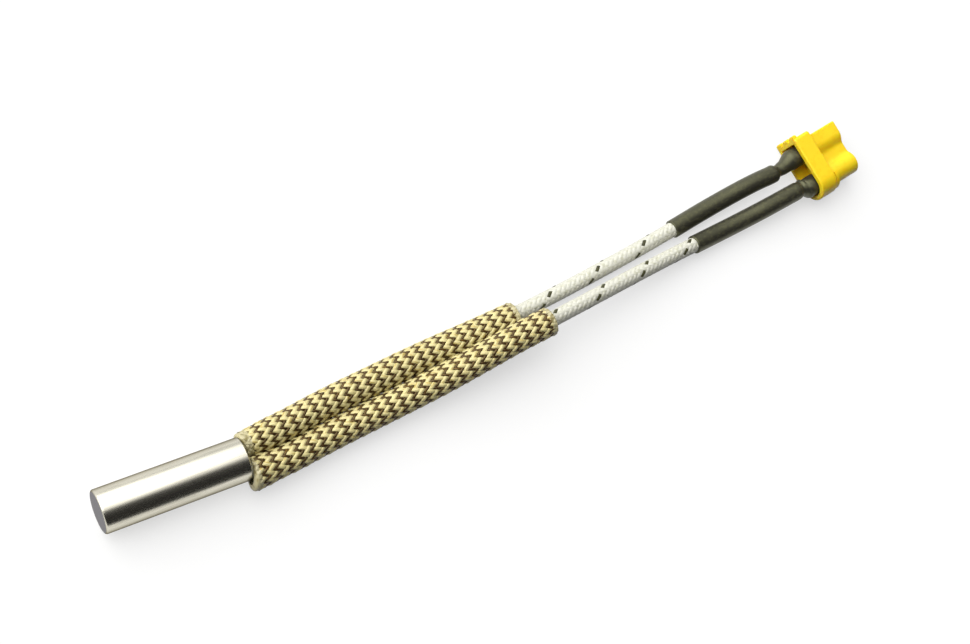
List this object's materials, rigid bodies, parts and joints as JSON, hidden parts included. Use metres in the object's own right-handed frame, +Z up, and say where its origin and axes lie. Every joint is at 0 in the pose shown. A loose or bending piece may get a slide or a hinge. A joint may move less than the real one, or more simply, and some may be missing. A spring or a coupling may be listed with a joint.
{
  "type": "cartridge heater with plug",
  "caption": "Small cartridge heater: plain steel sheath, leads in braided glass sleeves, heat-shrink tubes and a yellow plug on their far end.",
  "frame": {"origin": "on the resting surface, under the middle of the sheath: the bottom centre of the sheath's box", "axes": "+X along the sheath's axis from the closed end towards the leads, +Y towards lead a, +Z up"},
  "size_m": [0.1285, 0.0219, 0.0074],
  "materials": {
    "stainless_sheath": "drawn and polished, satin",
    "magnesia": "packed powder",
    "ceramic": "fired, matt",
    "resistance_wire": "drawn wire",
    "nickel_pin": "drawn",
    "crimp_metal": "plated",
    "potting": "cast, matt",
    "copper_strand": "plated strands",
    "lapped_insulation": "lapped glass",
    "white_braid": "braided glass with a dark tracer",
    "sleeve_braid": "braided glass, cream and brown",
    "heat_shrink": "shrunk on, satin",
    "yellow_nylon": "moulded, satin",
    "gold_plate": "turned and gold plated",
    "solder": "solidified solder"
  },
  "bodies": {
    "root": {"sheath": "stainless_sheath", "end_disc": "stainless_sheath", "magnesia_fill": "magnesia", "ceramic_core": "ceramic", "resistance_coil": "resistance_wire", "terminal_pin_a": "nickel_pin", "terminal_pin_b": "nickel_pin", "crimp_ferrule_a": "crimp_metal", "crimp_ferrule_b": "crimp_metal", "end_seal": "potting", "conductor_a": "copper_strand", "conductor_b": "copper_strand", "lead_insulation_a": "lapped_insulation", "lead_insulation_b": "lapped_insulation", "lead_braid_a": "white_braid", "lead_braid_b": "white_braid", "sleeve_a": "sleeve_braid", "sleeve_b": "sleeve_braid", "heat_shrink_a": "heat_shrink", "heat_shrink_b": "heat_shrink", "connector_housing": "yellow_nylon", "contact_a": "gold_plate", "contact_b": "gold_plate", "solder_a": "solder", "solder_b": "solder"}
  },
  "joints": []
}
